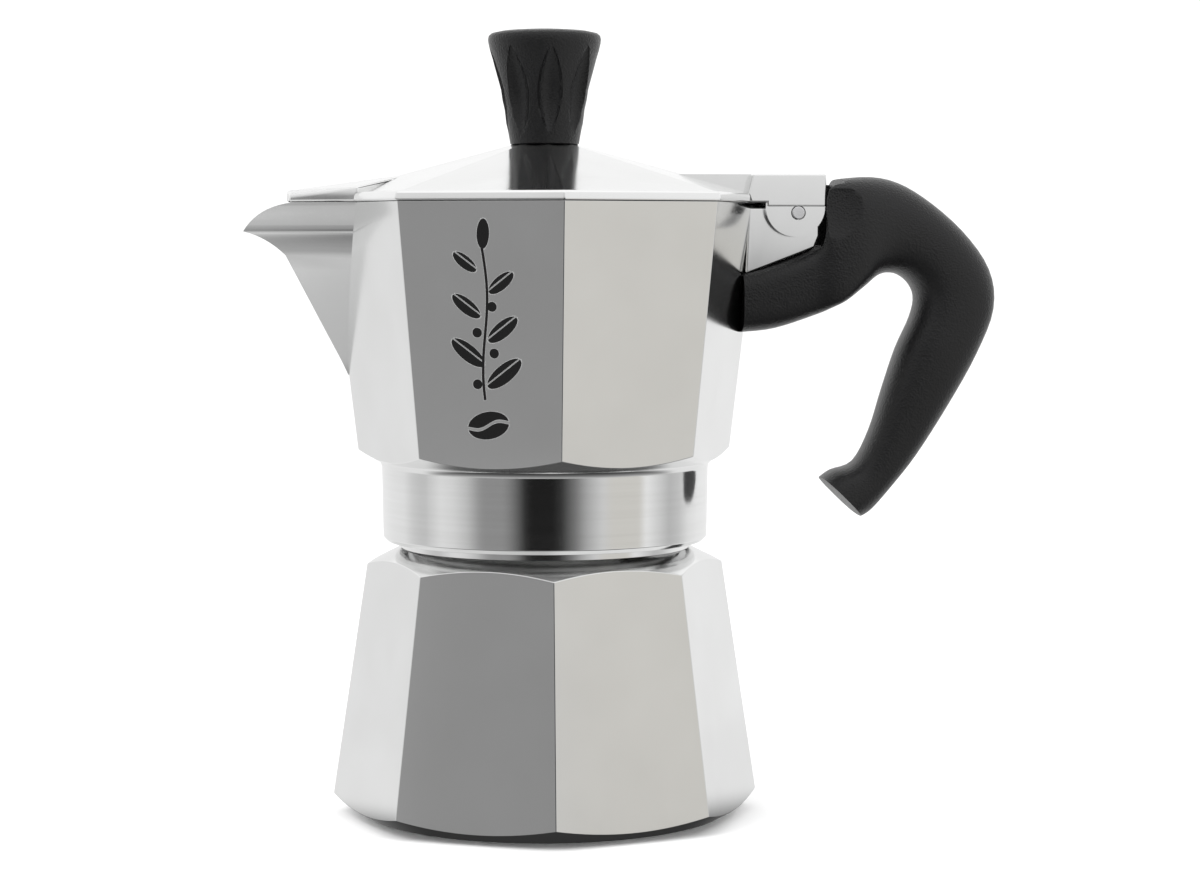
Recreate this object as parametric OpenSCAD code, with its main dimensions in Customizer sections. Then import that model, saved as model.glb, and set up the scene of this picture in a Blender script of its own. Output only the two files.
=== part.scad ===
// Octagonal stove-top moka pot: a boiler with a safety valve, a coffee funnel, and a collector that
// screws on above them and carries a spout, a side handle and a hinged lid with a knob.
// Z is up and the origin is the centre of the flat base. The handle points along +X, the spout along -X.

/* [Boiler] */
// Radius of the boiler's corners at the foot
boiler_foot_r = 43.6; // [38:0.1:54]
// Radius of the boiler's corners at the shoulder
boiler_top_r = 36.5; // [35.5:0.1:44]
// Height of the shoulder's corners above the table
boiler_h = 51.3; // [40:0.1:70]
// Radius of the flat circle that the pot stands on
foot_flat_r = 36.5; // [28:0.1:37.5]
// Height of the foot's corners above the table
foot_rise = 3.9; // [2:0.1:6]
// Thickness of the boiler's facets at their middle
boiler_wall = 2.6; // [1.8:0.1:3.5]
// Thickness of the boiler's floor
boiler_floor = 3.5; // [2.5:0.1:5]
// Angle that the boiler's corners lag the collector's by when it is screwed tight
boiler_turn = 2.2; // [-15:0.1:15]

/* [Neck and thread] */
// Outer radius of the neck below the thread's ridges
neck_r = 29.5; // [27.5:0.1:30]
// Height of the neck above the shoulder
neck_h = 11.2; // [11:0.1:14]
// Wall of the neck
neck_wall = 3.2; // [2.6:0.1:4]
// Rise of the shoulder from its corners to the neck
shoulder_rise = 3.5; // [2:0.1:5]
// Rise of the thread in one turn
thread_pitch = 3.5; // [3:0.1:4]
// Height of the thread's ridges
thread_depth = 1.3; // [1:0.05:1.5]
// Clearance between the ridge of one thread and the wall facing it
thread_gap = 0.4; // [0.3:0.05:0.6]
// Turns from screwed tight to free
unscrew_turns = 2; // [1:0.25:2]

/* [Collar] */
// Wall of the collar outside the thread's groove
collar_wall = 2.2; // [1.5:0.1:4]
// Gap between the shoulder and the collar's lower edge
collar_gap = 1.35; // [0.8:0.05:3]
// Chamfer on the collar's lower edge
collar_chamfer = 0.9; // [0.3:0.1:1.2]

/* [Collector] */
// Radius of the collector's corners at its foot
jug_foot_r = 38.2; // [37:0.1:46]
// Radius of the collector's corners at its rim
jug_top_r = 44.1; // [40:0.1:54]
// Height of the collector's facets
jug_h = 50.1; // [40:0.1:64]
// Wall of the collector's facets
jug_wall = 2.3; // [1.6:0.1:3]
// Rise of the collector's underside from the collar to the foot corners
underside_rise = 3.6; // [2.5:0.1:6]

/* [Coffee column] */
// Height of the column above the collector's foot
column_h = 37; // [28:0.5:39]
// Radius of the column at its top
column_top_r = 5.4; // [4.8:0.1:7]
// Radius of the column where it joins the floor
column_base_r = 9; // [7.5:0.1:12]
// Radius of the column's bore
column_bore_r = 3.4; // [3:0.1:3.8]

/* [Spout] */
// Distance of the spout's tip from the pot's axis
spout_reach = 61.2; // [57:0.1:72]
// Depth of the spout's tip below the rim
spout_tip_drop = 5.8; // [4:0.1:8]
// Depth below the rim at which the spout leaves the corner
spout_h = 34.9; // [28:0.1:38]
// Half of the spout's width at the rim
spout_half_w = 13; // [9:0.1:15]
// Wall of the spout
spout_wall = 1.8; // [1.2:0.1:2.4]

/* [Lid] */
// Height of the lid's rim
lid_rim_h = 1.95; // [1.4:0.05:3]
// Distance that the lid's rim stands out past the collector's corners
lid_overhang = 0.6; // [0.2:0.1:1.2]
// Rise of the lid's roof from its rim to the seat of the knob
lid_rise = 9.75; // [8:0.05:14]
// Thickness of the lid
lid_t = 1.4; // [1:0.1:2]
// Distance of the beak's tip from the pot's axis
beak_reach = 52.3; // [49:0.1:56]
// Gap between the collector's rim and the lid
lid_gap = 0.1; // [0.05:0.05:0.3]

/* [Hinge] */
// Distance of the hinge pin behind the rim's corner
pin_out = 6.9; // [6.5:0.1:8]
// Depth of the hinge pin below the rim
pin_drop = 2; // [1.5:0.1:2.5]
// Radius of the hinge pin
pin_r = 1.35; // [1:0.05:1.5]
// Radial clearance of the pin in the bracket
pin_gap = 0.05; // [0.02:0.01:0.1]
// Half of the bracket's width
bracket_half_w = 6; // [4.5:0.1:7]
// Thickness of each of the lid's ears
ear_t = 2.3; // [1.6:0.1:3]
// Side clearance between the bracket and an ear
ear_gap = 0.2; // [0.1:0.05:0.4]
// Largest angle that the lid opens to
lid_open = 100; // [80:1:104]

/* [Handle] */
// Distance of the handle's rearmost point behind the hinge pin
handle_reach = 42.2; // [36:0.1:55]
// Depth of the handle's lowest point below the hinge pin
handle_drop = 62.6; // [54:0.1:76]
// Half of the handle's width where the hand holds it
grip_half_w = 8.6; // [7:0.1:10]
// Half of the handle's width beside the hinge
cradle_half_w = 11; // [10.6:0.1:13]
// Half of the thickness of the tongue that the handle slides onto
tongue_half_w = 2.4; // [1.8:0.1:3]
// Fit of the handle on the collector
handle_fit = 0.1; // [0.05:0.05:0.3]
// Radius of the handle screw's shank
handle_screw_r = 1.9; // [1.5:0.1:2]

/* [Knob] */
// Height of the knob
knob_h = 23.3; // [18:0.1:28]
// Radius of the knob's foot
knob_foot_r = 7; // [6:0.1:8]
// Radius of the knob's head
knob_head_r = 11.5; // [9.5:0.1:13.5]
// Number of flutes around the knob
knob_flutes = 8; // [6:1:10]
// Radius of the knob screw's shank
knob_screw_r = 2; // [1.5:0.1:2.2]

/* [Funnel, plates and gasket] */
// Radial clearance of the funnel in the neck
funnel_gap = 0.3; // [0.2:0.05:0.6]
// Wall of the funnel
funnel_wall = 1; // [0.8:0.1:1.4]
// Depth of the funnel's basket
basket_h = 23; // [16:0.5:28]
// Radius of the funnel's stem
stem_r = 4.7; // [4.2:0.1:6]
// Gap between the stem and the boiler's floor
stem_gap = 4.5; // [3:0.1:8]
// Thickness of the funnel's flange
flange_t = 1; // [0.8:0.1:1.4]
// Thickness of the gasket
gasket_t = 2.8; // [2:0.1:3.6]
// Width of the gasket's ring
gasket_w = 5.2; // [4:0.1:6]
// Thickness of the perforated plates
plate_t = 0.8; // [0.6:0.1:1.2]
// Radius of the holes in the funnel's plate
funnel_hole_r = 0.7; // [0.5:0.05:0.8]
// Radius of the holes in the filter plate
filter_hole_r = 0.55; // [0.4:0.05:0.7]

/* [Safety valve] */
// Facet that carries the valve, counted around from the handle
valve_facet = 2; // [1:1:6]
// Height of the valve on its facet
valve_z = 33; // [26:0.5:38]
// Width of the valve's hexagon across its flats
valve_hex_af = 11; // [9:0.5:13]
// Length of the hexagon
valve_hex_h = 4.5; // [3.5:0.1:6]
// Radius of the valve's shank
valve_shank_r = 4; // [3.5:0.1:4.5]

/* [Hidden] */
$fn = 96;

facets = 8;
half_facet = 180 / facets;
flat = cos(half_facet);
far = 200;
eps = 0.02;

// Heights, stacked from the table up
neck_z = boiler_h + shoulder_rise;
neck_top_z = neck_z + neck_h;
flange_top_z = neck_top_z + flange_t;
gasket_top_z = flange_top_z + gasket_t;
plate_top_z = gasket_top_z + plate_t;
collar_z = neck_z + collar_gap;
collar_top_z = plate_top_z + 0.6;
fillet_rise = 1.2;
jug_z = collar_top_z + underside_rise;
rim_z = jug_z + jug_h;
jug_floor_z = jug_z + 1.6;
lid_z = rim_z + lid_gap;
lid_roof_z = lid_z + lid_rim_h;
knob_z = lid_roof_z + lid_rise;

// Boiler, whose cavity is turned to a cone
boiler_slope = (boiler_foot_r - boiler_top_r) / (boiler_h - foot_rise);
function boiler_r(z) = boiler_top_r + (boiler_h - z) * boiler_slope;
function boiler_in_r(z) = flat * boiler_r(z) - boiler_wall;
foot_slope = foot_rise / (boiler_foot_r - foot_flat_r);
shoulder_slope = shoulder_rise / (boiler_top_r - neck_r);
lathe_over = 3;
floor_bevel = 3;
neck_in_r = neck_r - neck_wall;

// Thread: the male ridge stands on the neck and the female ridge in the collar
groove_r = neck_r + thread_depth + thread_gap;
ridge_foot = 1.0;
ridge_top = 0.5;
male_z0 = neck_z + 4.1;
male_turns = 1.25;
rise = unscrew_turns * thread_pitch;
female_z0 = male_z0 + male_turns * thread_pitch + 2 * ridge_foot - rise;
female_top_z = neck_top_z - 0.9;
female_turns = (female_top_z - female_z0) / thread_pitch;
female_start = 360 * (female_z0 - male_z0 - thread_pitch / 2) / thread_pitch;
thread_steps = 30;

// Collar and collector
collar_r = groove_r + collar_wall;
collar_draft = 0.25;
seat_r = neck_r + 0.2;
jug_slope = (jug_top_r - jug_foot_r) / jug_h;
function jug_r(z) = jug_foot_r + (z - jug_z) * jug_slope;
function jug_in_r(z) = jug_r(z) - jug_wall / flat;
fillet_r = collar_r + 0.6;
underside_slope = (underside_rise - fillet_rise) / (jug_foot_r - fillet_r);
plate_lap = 2.7;
plate_r = seat_r - gasket_w + plate_lap;
gasket_in_r = seat_r - 0.1 - gasket_w;
column_z = jug_z + column_h;
outlet_h = 5;
outlet_half_w = 2.2;

// Spout: the keel runs straight out from the corner and then curls to the tip
spout_z = rim_z - spout_h;
tip_z = rim_z - spout_tip_drop;
kink = [jug_r(spout_z) + 0.6 * (spout_reach - jug_r(spout_z)), tip_z - 4.8];
keel_pull = [kink[0] + 3.8, kink[1] + 3.7];
function bend(a, b, c, t) = (1 - t) * (1 - t) * a + 2 * t * (1 - t) * b + t * t * c;
keel = [for (i = [0:3]) [jug_r(spout_z) + (kink[0] - jug_r(spout_z)) * i / 4,
                         spout_z + (kink[1] - spout_z) * i / 4],
        for (i = [0:5]) bend(kink, keel_pull, [spout_reach, tip_z], i / 5),
        [spout_reach + 0.6, rim_z + 1]];
lip = [for (i = [0:6]) bend([spout_reach, tip_z], [spout_reach - 3, rim_z - 0.8],
                            [beak_reach - 1, rim_z], i / 6)];
function spout_w(z) = max(0.1, spout_half_w * pow(max(0, (z - spout_z) / spout_h), 1.3));

// Hinge
pin = [jug_top_r + pin_out, rim_z - pin_drop];
block_half_w = bracket_half_w + ear_gap + ear_t;
block_front = pin[0] - 10.4;
block_back = pin[0] + 5.7;
block_top_z = pin[1] + 7.85;
block_z = rim_z - 0.75;
ear_r = 6.1;
knuckle_r = 4.2;
plate_top_t = 1.5;
swing_gap = 0.35;
swing_r = norm([block_back - pin[0], block_top_z - pin[1]]) + swing_gap;
rib_half_w = 5;
rib_front = 24;
bracket_low = 13.7;
bracket_back = pin[0] + 4.8;
tongue_low = 22;
tongue_high = 8;
handle_screw_x = pin[0] - 3.5;
handle_screw_z = rim_z - 22.6;
handle_bore_z = rim_z - 60;
screw_bite = 9;
screw_slot_w = 0.8;

// Lid
lid_r = jug_top_r + lid_overhang;
lid_edge = 1.9;
roof_slope = lid_rise / (lid_r - lid_edge - knob_foot_r);
lid_drop = lid_t / cos(atan(roof_slope));
beak_root_w = spout_half_w + 0.9;
beak_root_x = 5.5 - jug_top_r;
beak_root_h = 4.1;
beak_tip_w = 5.4;
beak_tip_h = 2.4;
beak_side_h = 1.5;
beak_ridge_x = -29.5;
beak_ridge_h = 5.7;
beak_ease = 0.7;
lid_shell_r = lid_r - lid_edge - 1.3;

// Handle: from the hinge pin, a point on its outer side, one on its inner side, its half width there,
// and how far that width follows the cradle (1) rather than the grip (0)
function reach_x(x) = x < 8 ? x : 8 + (x - 8) * (handle_reach - 8) / 34.2;
function drop_z(z) = z > -20 ? z : -20 + (z + 20) * (handle_drop - 20) / 42.6;
grip_scale = grip_half_w / 8.6;
cradle_extra = cradle_half_w - 10.8;
HANDLE = [[-11, -12.6, -11, -24.4, 8.4, 0], [-4, -10.6, -4, -23.6, 8.8, 0], [3.6, -7.9, 4, -21, 9.3, 0],
          [6.4, -4.6, 7, -19.6, 9.8, 1], [7.1, 5.6, 10.2, -18, 10.4, 1], [12.3, 7.3, 14.2, -15.2, 10.8, 1],
          [19.8, 6.9, 18, -12.6, 9.8, 0.4], [27, 3.4, 21.6, -12.4, 9.2, 0], [35.2, -3.4, 24.4, -14.2, 8.8, 0],
          [41, -11.4, 25.8, -17.2, 8.6, 0], [42.2, -19.6, 25, -21.4, 8.5, 0], [38.6, -29, 22, -28, 8.3, 0],
          [32.8, -39.4, 19.2, -36.4, 7.8, 0], [26, -50, 16.6, -44.8, 7.2, 0], [20.4, -57, 13.2, -51.2, 7, 0],
          [16.6, -61.2, 8.6, -53, 7.6, 0], [14.4, -62.6, 6.3, -54.6, 8, 0]];

// Knob and its insert
insert_r = knob_screw_r + 1.3;
insert_h = 9;
knob_profile = [[0, 0], [1, 0], [1.05, 0.13], [1.17, 0.31], [1.36, 0.61], [1.55, 0.83], [1.63, 0.9]];

// Safety valve, in its own frame: Z points out of the facet and the facet is at Z = 0
valve_angle = (valve_facet + 0.5) * 360 / facets - boiler_turn;
valve_tilt = atan(boiler_slope * flat);
valve_out = flat * boiler_r(valve_z);
boss_h = 0.8;
washer_t = 0.8;
shank_in = boiler_wall + 2.2;
hex_z = boss_h + washer_t;
valve_end_z = hex_z + valve_hex_h;
seat_bore_r = 1.3;
chamber_r = 2.9;
chamber_z = -shank_in + 1.4;
retainer_t = 1.2;
retainer_z = valve_end_z - retainer_t;
plunger_head_r = 2.6;
plunger_head_t = 1.1;
plunger_stem_r = 1;
spring_r = 2.1;
spring_wire_r = 0.3;
spring_turns = 4;

// A ridge of the thread, swept along a helix; its ends fade into the wall
module thread_ridge(wall_r, out, z0, turns, start) {
    steps = ceil(thread_steps * turns);
    sink = 0.4;
    fade = 3;
    ring = [for (i = [0:steps]) let (
                a = start + 360 * turns * i / steps,
                z = z0 + thread_pitch * turns * i / steps,
                k = min(1, (i + 0.4) / fade, (steps - i + 0.4) / fade),
                crest = wall_r + out * thread_depth * k)
            [for (p = [[wall_r - out * sink, -ridge_foot], [crest, -ridge_top],
                       [crest, ridge_top], [wall_r - out * sink, ridge_foot]])
                [p[0] * cos(a), p[0] * sin(a), z + p[1]]]];
    points = [for (r = ring) each (out > 0 ? r : [r[3], r[2], r[1], r[0]])];
    sides = [for (i = [0:steps - 1]) for (j = [0:3])
                [4 * i + j, 4 * i + (j + 1) % 4, 4 * i + 4 + (j + 1) % 4, 4 * i + 4 + j]];
    last = 4 * steps;
    polyhedron(points, concat([[3, 2, 1, 0]], sides, [[last, last + 1, last + 2, last + 3]]));
}

// An eight-sided frustum with its corners on the axes
module frustum(r0, r1, h) {
    cylinder(h = h, r1 = r0, r2 = r1, $fn = facets);
}

// A flat outline in X and Z, made solid for a half width to each side of Y = 0
module slab(half_w) {
    rotate([90, 0, 0])
        linear_extrude(height = 2 * half_w, center = true)
            children();
}

// Puts its children on the boiler's facet, with Z out of it
module at_valve() {
    rotate([0, 0, valve_angle])
        translate([valve_out, 0, valve_z])
            rotate([0, 90 - valve_tilt, 0])
                children();
}

// Rings of holes for a perforated plate
module hole_rings(rings, step, r, z, h) {
    for (k = [1:rings])
        for (i = [0:6 * k - 1])
            rotate([0, 0, 60 * i / k])
                translate([k * step, 0, z])
                    cylinder(h = h, r = r, $fn = 16);
}

module boiler() {
    color("silver")
    difference() {
        union() {
            intersection() {
                rotate([0, 0, -boiler_turn])
                    translate([0, 0, -1])
                        frustum(boiler_r(-1), boiler_r(neck_z + 1), neck_z + 2);
                rotate_extrude()
                    polygon([[0, 0], [foot_flat_r, 0],
                             [boiler_foot_r + lathe_over, foot_rise + lathe_over * foot_slope],
                             [boiler_foot_r + lathe_over,
                              boiler_h - (boiler_foot_r + lathe_over - boiler_top_r) * shoulder_slope],
                             [neck_r, neck_z], [0, neck_z]]);
            }
            translate([0, 0, neck_z - 1])
                cylinder(h = neck_h + 1, r = neck_r);
            thread_ridge(neck_r, 1, male_z0, male_turns, 0);
            at_valve() translate([0, 0, -1])
                cylinder(h = boss_h + 1, r = valve_hex_af / 2 + 1.4);
        }
        rotate_extrude()
            polygon([[0, boiler_floor], [boiler_in_r(boiler_floor) - floor_bevel, boiler_floor],
                     [boiler_in_r(boiler_floor + floor_bevel), boiler_floor + floor_bevel],
                     [boiler_in_r(boiler_h - 2), boiler_h - 2], [neck_in_r, neck_z - 1.5],
                     [neck_in_r, neck_top_z + 1], [0, neck_top_z + 1]]);
        at_valve() translate([0, 0, -boiler_wall - 6])
            cylinder(h = boiler_wall + 10, r = valve_shank_r);
    }
}

module valve_body() {
    color("goldenrod")
    at_valve() difference() {
        union() {
            translate([0, 0, -shank_in])
                cylinder(h = shank_in + hex_z + 1, r = valve_shank_r);
            intersection() {
                translate([0, 0, hex_z])
                    cylinder(h = valve_hex_h, r = valve_hex_af / 2 / cos(30), $fn = 6);
                translate([0, 0, hex_z])
                    cylinder(h = valve_hex_h, r1 = valve_hex_af / 2 + 2.4, r2 = valve_hex_af / 2);
            }
        }
        translate([0, 0, -shank_in - 1])
            cylinder(h = shank_in + valve_end_z, r = seat_bore_r);
        translate([0, 0, chamber_z])
            cylinder(h = valve_end_z - chamber_z + 1, r = chamber_r);
    }
}

module valve_washer() {
    color("sienna")
    at_valve() translate([0, 0, boss_h]) difference() {
        cylinder(h = washer_t, r = valve_hex_af / 2 + 0.3);
        translate([0, 0, -1])
            cylinder(h = washer_t + 2, r = valve_shank_r);
    }
}

module valve_retainer() {
    color("goldenrod")
    at_valve() translate([0, 0, retainer_z]) difference() {
        cylinder(h = retainer_t, r = chamber_r);
        translate([0, 0, -1])
            cylinder(h = retainer_t + 2, r = plunger_stem_r + 0.08);
    }
}

module valve_plunger() {
    color("gainsboro")
    at_valve() {
        translate([0, 0, chamber_z])
            cylinder(h = plunger_head_t, r = plunger_head_r);
        translate([0, 0, chamber_z])
            cylinder(h = valve_end_z + 0.8 - chamber_z, r = plunger_stem_r);
    }
}

// The wire of the valve's spring, swept along its helix
module valve_spring() {
    low = chamber_z + plunger_head_t + spring_wire_r + 0.05;
    high = retainer_z - spring_wire_r - 0.05;
    steps = 16 * spring_turns;
    sides = 6;
    points = [for (i = [0:steps]) let (a = 22.5 * i, z = low + (high - low) * i / steps)
                for (j = [0:sides - 1]) let (r = spring_r + spring_wire_r * cos(60 * j))
                    [r * cos(a), r * sin(a), z + spring_wire_r * sin(60 * j)]];
    walls = [for (i = [0:steps - 1]) for (j = [0:sides - 1])
                [sides * i + j, sides * i + (j + 1) % sides,
                 sides * (i + 1) + (j + 1) % sides, sides * (i + 1) + j]];
    start = [for (j = [sides - 1:-1:0]) j];
    end = [for (j = [0:sides - 1]) sides * steps + j];
    color("lightgray")
    at_valve() polyhedron(points, concat([start], walls, [end]));
}

module funnel() {
    out_r = neck_in_r - funnel_gap;
    in_r = out_r - funnel_wall;
    basket_z = neck_top_z - basket_h;
    stem_top_z = basket_z - (out_r - stem_r) * 0.62;
    stem_end_z = boiler_floor + stem_gap;
    color("silver")
    rotate_extrude()
        polygon([[stem_r - funnel_wall, stem_end_z], [stem_r, stem_end_z], [stem_r, stem_top_z],
                 [out_r, basket_z], [out_r, neck_top_z], [neck_r - 0.4, neck_top_z],
                 [neck_r - 0.4, flange_top_z], [in_r, flange_top_z], [in_r, basket_z + plate_t + 0.1],
                 [in_r, basket_z + 0.1], [in_r - 1, basket_z + 0.1],
                 [stem_r - funnel_wall, stem_top_z + 0.5]]);
}

module funnel_plate() {
    out_r = neck_in_r - funnel_gap - funnel_wall;
    z = neck_top_z - basket_h + 0.1;
    color("gainsboro")
    difference() {
        translate([0, 0, z])
            cylinder(h = plate_t, r = out_r);
        hole_rings(5, (out_r - 3) / 5, funnel_hole_r, z - 1, plate_t + 2);
    }
}

// The V-shaped spout: each level is a triangle from the keel back into the collector's wall
module spout_wedge(wall) {
    back = jug_wall / flat + 1;
    n = len(keel);
    points = [for (p = keel) let (
                    w = spout_w(p[1]),
                    face = jug_r(p[1]) - w * tan(half_facet),
                    tip = max(p[0], face + 0.2),
                    in_tip = max(tip - wall / sin(27), face - back + 0.1),
                    root_w = w / (tip - face) * (in_tip - face + back))
                each [[-in_tip, 0, p[1]], [back - face, -root_w, p[1]], [back - face, root_w, p[1]]]];
    walls = [for (i = [0:n - 2]) for (j = [0:2])
                [3 * i + j, 3 * i + 3 + j, 3 * i + 3 + (j + 1) % 3, 3 * i + (j + 1) % 3]];
    polyhedron(points, concat([[0, 1, 2]], walls, [[3 * n - 1, 3 * n - 2, 3 * n - 3]]));
}

// Everything below the curve that the spout's lip and the rim are cut to
module below_lip() {
    slab(far / 2)
        polygon(concat([[far, -1], [far, rim_z], [1 - beak_reach, rim_z]],
                       [for (i = [6:-1:0]) [-lip[i][0], lip[i][1]]],
                       [[-spout_reach, tip_z - 1], [-spout_reach, -1]]));
}

module jug_octagon(grow) {
    translate([0, 0, collar_z])
        frustum(jug_r(collar_z) + grow, jug_r(rim_z) + grow, rim_z - collar_z);
}

// Side outline of the bracket behind the rim's corner
module bracket_outline() {
    polygon([[jug_r(rim_z - bracket_low) - 2, rim_z - bracket_low - 0.8],
             [jug_r(rim_z - bracket_low), rim_z - bracket_low],
             [bracket_back - 1, rim_z - bracket_low + 4.6], [bracket_back, rim_z - bracket_low + 7],
             [bracket_back, block_z - 0.1], [jug_top_r - 3, block_z - 0.1]]);
}

// Side outline of the tongue that the handle slides onto
module tongue_outline() {
    low = rim_z - tongue_low;
    high = rim_z - tongue_high;
    polygon([[jug_r(low) - 1.5, low], [pin[0] - 5, low + 2.5], [pin[0] + 1.5, low + 6],
             [pin[0] + 3.5, high], [jug_r(high) - 1.5, high]]);
}

module collector() {
    color("silver")
    difference() {
        union() {
            rotate_extrude()
                polygon([[0, collar_z], [collar_r - collar_draft - collar_chamfer, collar_z],
                         [collar_r - collar_draft, collar_z + collar_chamfer], [collar_r, collar_top_z],
                         [fillet_r, collar_top_z + fillet_rise], [fillet_r, jug_z], [0, jug_z]]);
            intersection() {
                jug_octagon(0);
                rotate_extrude()
                    polygon([[0, collar_top_z + fillet_rise], [fillet_r, collar_top_z + fillet_rise],
                             [jug_top_r + lathe_over,
                              jug_z + (jug_top_r + lathe_over - jug_foot_r) * underside_slope],
                             [jug_top_r + lathe_over, rim_z + 1], [0, rim_z + 1]]);
            }
            intersection() {
                spout_wedge(0);
                below_lip();
            }
            slab(bracket_half_w)
                bracket_outline();
            slab(bracket_half_w)
                translate(pin) circle(r = knuckle_r);
            slab(tongue_half_w)
                tongue_outline();
        }
        // The chamber, and the inside of the spout
        translate([0, 0, jug_floor_z])
            frustum(jug_in_r(jug_floor_z), jug_in_r(rim_z + 1), rim_z + 1 - jug_floor_z);
        spout_wedge(spout_wall);
        // Thread, gasket seat, plate recess and the cone that leads to the column
        rotate_extrude()
            polygon([[0, collar_z - 1], [groove_r, collar_z - 1], [groove_r, neck_top_z - 0.3],
                     [seat_r, neck_top_z + 0.5], [seat_r, gasket_top_z], [plate_r + 0.1, gasket_top_z],
                     [plate_r + 0.1, plate_top_z], [gasket_in_r, plate_top_z],
                     [gasket_in_r, plate_top_z + 0.8], [column_bore_r, jug_z + 0.6],
                     [column_bore_r, jug_floor_z + 1], [0, jug_floor_z + 1]]);
        translate([pin[0], 0, pin[1]])
            rotate([90, 0, 0])
                cylinder(h = far, r = pin_r + pin_gap, center = true);
        translate([handle_screw_x, 0, rim_z - tongue_low - 1])
            cylinder(h = screw_bite + 1, r = handle_screw_r);
    }
    color("silver")
    union() {
        thread_ridge(groove_r, -1, female_z0, female_turns, female_start);
        difference() {
            translate([0, 0, jug_floor_z - 1])
                union() {
                    cylinder(h = 4, r1 = column_base_r + 1.2, r2 = column_base_r - 2.1);
                    cylinder(h = column_z - jug_floor_z + 1, r1 = column_base_r - 1.8, r2 = column_top_r);
                }
            translate([0, 0, jug_z - 2])
                cylinder(h = column_z - jug_z - 0.5, r = column_bore_r);
            translate([0, 0, column_z - 3 - outlet_h / 2])
                cube([4 * column_base_r, 2 * outlet_half_w, outlet_h], center = true);
        }
    }
}

module gasket() {
    color("ivory")
    translate([0, 0, flange_top_z]) difference() {
        cylinder(h = gasket_t, r = seat_r - 0.1);
        translate([0, 0, -1])
            cylinder(h = gasket_t + 2, r = gasket_in_r);
    }
}

module filter_plate() {
    color("gainsboro")
    difference() {
        translate([0, 0, gasket_top_z])
            cylinder(h = plate_t, r = plate_r);
        hole_rings(6, (gasket_in_r - 1.4) / 6, filter_hole_r, gasket_top_z - 1, plate_t + 2);
    }
}

function spline(p, i, t) = let (
        n = len(p) - 1,
        a = p[max(0, i - 1)], b = p[i], c = p[min(n, i + 1)], d = p[min(n, i + 2)])
    0.5 * ((2 * b) + (c - a) * t + (2 * a - 5 * b + 4 * c - d) * t * t
           + (3 * b - a - 3 * c + d) * t * t * t);

// The handle's body: ovals lofted through the pairs of points
module handle_loft() {
    between = 3;
    around = 24;
    fat = 0.8;
    n = len(HANDLE) - 1;
    stations = [for (i = [0:n - 1]) for (k = [0:between - 1]) spline(HANDLE, i, k / between), HANDLE[n]];
    m = len(stations);
    points = [for (s = stations) let (
                    out = [reach_x(s[0]), drop_z(s[1])],
                    inn = [reach_x(s[2]), drop_z(s[3])],
                    mid = (out + inn) / 2,
                    arm = (out - inn) / 2,
                    wide = s[4] * (1 - s[5]) * grip_scale + s[5] * (s[4] + cradle_extra))
                for (j = [0:around - 1]) let (
                    u = cos(360 * j / around),
                    v = sin(360 * j / around),
                    a = sign(u) * pow(abs(u), fat),
                    b = sign(v) * pow(abs(v), fat))
                    [pin[0] + mid[0] + arm[0] * a, wide * b, pin[1] + mid[1] + arm[1] * a]];
    walls = [for (i = [0:m - 2]) for (j = [0:around - 1])
                [around * i + j, around * i + (j + 1) % around,
                 around * (i + 1) + (j + 1) % around, around * (i + 1) + j]];
    start = [for (j = [around - 1:-1:0]) j];
    end = [for (j = [0:around - 1]) around * (m - 1) + j];
    polyhedron(points, concat([start], walls, [end]));
}

// The room that the lid's hinge block sweeps as it opens
module block_sweep() {
    translate([pin[0], 0, pin[1]]) {
        rotate([90, 0, 0])
            cylinder(h = 2 * (block_half_w + swing_gap), r = swing_r, center = true);
        rotate([0, lid_open, 0])
            translate([-far / 2, -block_half_w - swing_gap, 0])
                cube([far / 2 + block_back - pin[0], 2 * (block_half_w + swing_gap),
                      block_top_z - pin[1] + swing_gap]);
    }
}

module handle() {
    color("dimgray")
    difference() {
        handle_loft();
        jug_octagon(handle_fit);
        slab(bracket_half_w + handle_fit)
            offset(delta = handle_fit) bracket_outline();
        slab(tongue_half_w + handle_fit)
            offset(delta = handle_fit) tongue_outline();
        // Room for the ears, and for the block as it swings
        translate([pin[0] - 8, 0, rim_z - 6])
            cube([17, 2 * (block_half_w + swing_gap), 12], center = true);
        block_sweep();
        // Hole for the screw, and the bore that it is reached through
        translate([handle_screw_x, 0, handle_screw_z - 17.4])
            cylinder(h = 30, r = handle_screw_r + 0.1);
        translate([handle_screw_x, 0, handle_bore_z])
            cylinder(h = handle_screw_z - handle_bore_z, r = 2 * handle_screw_r);
    }
}

// The cross that a screwdriver fits, cut into the head at Z = 0
module cross_slot(depth) {
    for (a = [0, 90])
        rotate([0, 0, a])
            cube([4, screw_slot_w, 2 * depth], center = true);
}

module handle_screw() {
    head_h = 1.6;
    color("gainsboro")
    translate([handle_screw_x, 0, handle_screw_z - head_h]) difference() {
        union() {
            cylinder(h = head_h, r = 2 * handle_screw_r - 0.2);
            translate([0, 0, head_h - 0.5])
                cylinder(h = screw_bite + 0.5, r = handle_screw_r - 0.05);
        }
        cross_slot(head_h / 2);
    }
}

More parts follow.
